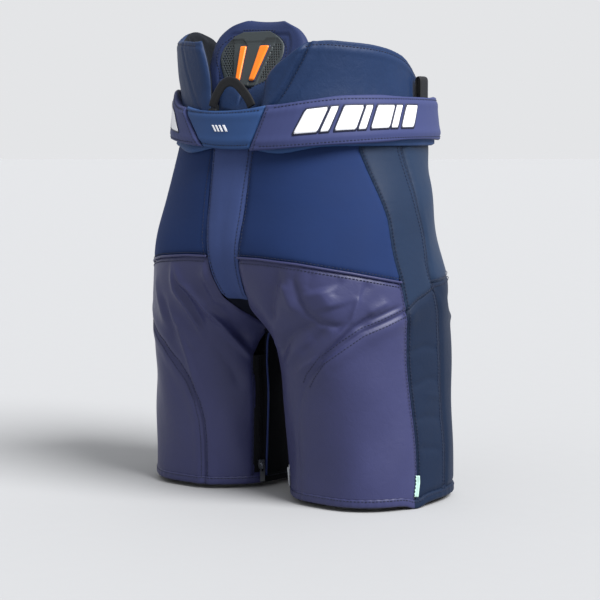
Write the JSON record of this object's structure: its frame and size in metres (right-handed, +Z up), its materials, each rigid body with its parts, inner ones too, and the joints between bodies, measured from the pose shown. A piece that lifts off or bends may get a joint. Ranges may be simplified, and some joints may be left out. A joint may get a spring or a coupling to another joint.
{
  "type": "hockey pants",
  "caption": "Padded ice hockey pants with belt, spine and kidney pads, hinged legs, inner zippers and a buckled waist.",
  "frame": {"origin": "middle of the standing footprint, on the plane of the hems", "axes": "+Z up; the front faces -Y; the wearer's left is +X"},
  "size_m": [0.3892, 0.2915, 0.56],
  "materials": {
    "seat_fabric": "woven stretch nylon",
    "strip_fabric": "woven nylon, slightly lighter",
    "dark_fabric": "dark stretch knit",
    "side_strip_fabric": "slate-blue nylon",
    "front_fabric": "saturated blue nylon",
    "lining": "brushed black lining",
    "belt_blue": "blue polyester",
    "belt_purple": "purple-navy padded polyester",
    "webbing": "black webbing",
    "buckle_metal": "satin",
    "pin_steel": "polished",
    "spine_fabric": "smooth purple-navy knit",
    "plate_plastic": "moulded, satin",
    "orange_insert": "semi-gloss",
    "wing_fabric": "blue polyester over foam",
    "foam": "closed-cell foam",
    "thigh_fabric": "purple-navy coated nylon with a soft sheen",
    "inner_leg_fabric": "black knit",
    "guard_plastic": "moulded",
    "zip_tape": "black woven tape",
    "zip_metal": "satin",
    "tag": "pale satin label"
  },
  "bodies": {
    "waist": {"seat_panel_left": "seat_fabric", "seat_panel_right": "seat_fabric", "centre_back_strip": "strip_fabric", "crotch_gusset": "dark_fabric", "hip_strip_left": "side_strip_fabric", "hip_strip_right": "side_strip_fabric", "front_panel_left": "front_fabric", "front_panel_right": "front_fabric", "fly_underlap": "dark_fabric", "girdle_liner": "lining", "belt_back_centre": "belt_blue", "belt_side_left": "belt_purple", "belt_side_right": "belt_purple", "waistband_backing": "belt_blue", "waist_strap": "webbing", "buckle_frame": "buckle_metal", "buckle_pin": "pin_steel", "spine_pad": "spine_fabric", "spine_plate": "plate_plastic", "spine_plate_bars": "orange_insert", "spine_cover": "wing_fabric", "tailbone_pad": "foam", "kidney_pad_left": "wing_fabric", "kidney_pad_right": "wing_fabric", "hip_pad_left": "foam", "hip_pad_right": "foam", "hang_loop_tabs": "webbing", "suspender_loop_left": "webbing", "suspender_loop_right": "webbing"},
    "leg_left": {"thigh_yoke_left": "thigh_fabric", "leg_back_left": "thigh_fabric", "leg_back_inner_left": "thigh_fabric", "leg_strip_left": "side_strip_fabric", "leg_front_left": "front_fabric", "leg_inner_left": "inner_leg_fabric", "hem_band_left": "thigh_fabric", "thigh_guard_left": "guard_plastic", "thigh_foam_left": "foam", "leg_liner_left": "lining", "zipper_tape_left": "zip_tape"},
    "leg_right": {"thigh_yoke_right": "thigh_fabric", "leg_back_right": "thigh_fabric", "leg_back_inner_right": "thigh_fabric", "leg_strip_right": "side_strip_fabric", "leg_front_right": "front_fabric", "leg_inner_right": "inner_leg_fabric", "hem_band_right": "thigh_fabric", "thigh_guard_right": "guard_plastic", "thigh_foam_right": "foam", "leg_liner_right": "lining", "zipper_tape_right": "zip_tape", "side_tag": "tag"},
    "fly": {"fly_flap": "front_fabric"},
    "buckle_lever_body": {"buckle_lever": "buckle_metal"},
    "hang_loop_body": {"hang_loop": "webbing"},
    "zip_slider_left": {"zipper_slider_left": "zip_metal"},
    "zip_pull_left": {"zipper_pull_left": "zip_metal"},
    "zip_slider_right": {"zipper_slider_right": "zip_metal"},
    "zip_pull_right": {"zipper_pull_right": "zip_metal"}
  },
  "joints": [
    {"name": "leg_left_swing", "type": "hinge", "parent": "waist", "child": "leg_left", "pos_m": [0, 0, 0.235], "axis": [-1, 0, 0], "range_deg": [0, 35], "stiffness_Nm_per_rad": 5},
    {"name": "zip_left_slide", "type": "slide", "parent": "leg_left", "child": "zip_slider_left", "axis": [0.0533, -0.0541, -0.9971], "range_m": [-0.125, 0]},
    {"name": "zip_left_pull", "type": "hinge", "parent": "zip_slider_left", "child": "zip_pull_left", "pos_m": [0.02039, 0.04749, 0.02812], "axis": [0.3491, 0.9365, -0.0322], "range_deg": [0, 150]},
    {"name": "leg_right_swing", "type": "hinge", "parent": "waist", "child": "leg_right", "pos_m": [0, 0, 0.235], "axis": [-1, 0, 0], "range_deg": [0, 35], "stiffness_Nm_per_rad": 5},
    {"name": "zip_right_slide", "type": "slide", "parent": "leg_right", "child": "zip_slider_right", "axis": [-0.0533, -0.0541, -0.9971], "range_m": [-0.125, 0]},
    {"name": "zip_right_pull", "type": "hinge", "parent": "zip_slider_right", "child": "zip_pull_right", "pos_m": [-0.02039, 0.04749, 0.02812], "axis": [0.3491, -0.9365, 0.0322], "range_deg": [0, 150]},
    {"name": "fly_swing", "type": "hinge", "parent": "waist", "child": "fly", "pos_m": [0.0303, -0.1225, 0.35], "axis": [0, 0, 1], "range_deg": [0, 130]},
    {"name": "buckle_lever_swing", "type": "hinge", "parent": "waist", "child": "buckle_lever_body", "pos_m": [0.012, -0.14119, 0.4445], "axis": [0, 0, 1], "range_deg": [0, 110]},
    {"name": "hang_loop_fold", "type": "hinge", "parent": "waist", "child": "hang_loop_body", "pos_m": [0, 0.1245, 0.4565], "axis": [-1, 0, 0], "range_deg": [0, 80], "stiffness_Nm_per_rad": 0.01}
  ]
}
